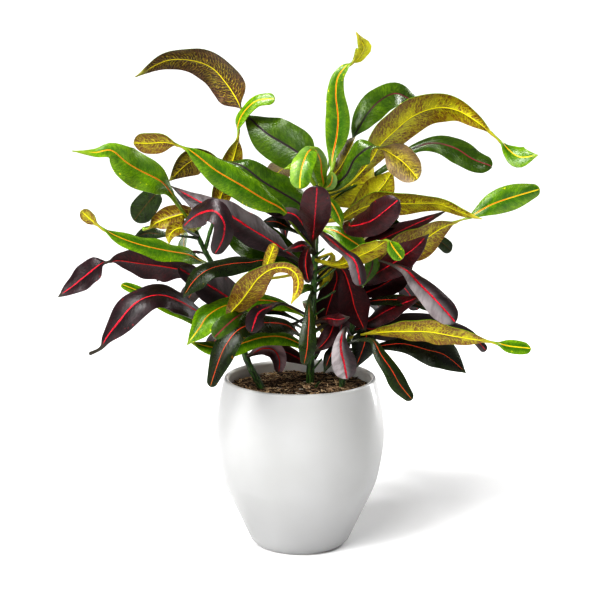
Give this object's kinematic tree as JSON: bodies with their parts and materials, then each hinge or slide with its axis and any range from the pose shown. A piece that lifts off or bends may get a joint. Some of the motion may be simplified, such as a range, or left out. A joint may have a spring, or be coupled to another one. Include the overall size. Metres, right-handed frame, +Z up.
{
  "type": "potted croton",
  "caption": "House plant in a round glazed pot: upright leafy stems with long, twisting green, yellow and dark red leaves, standing in potting soil.",
  "frame": {"origin": "centre of the pot's underside, on the surface that the pot stands on", "axes": "+Z up, -Y towards the front of the plant, +X to the right as seen from the front"},
  "size_m": [0.4808, 0.2969, 0.5109],
  "materials": {
    "glaze": "satin",
    "soil": "matte",
    "foliage": "satin",
    "dark_foliage": "satin"
  },
  "bodies": {
    "root": {"pot": "glaze", "soil": "soil", "stem_left": "foliage", "stem_centre": "foliage", "stem_right": "dark_foliage"}
  },
  "joints": []
}
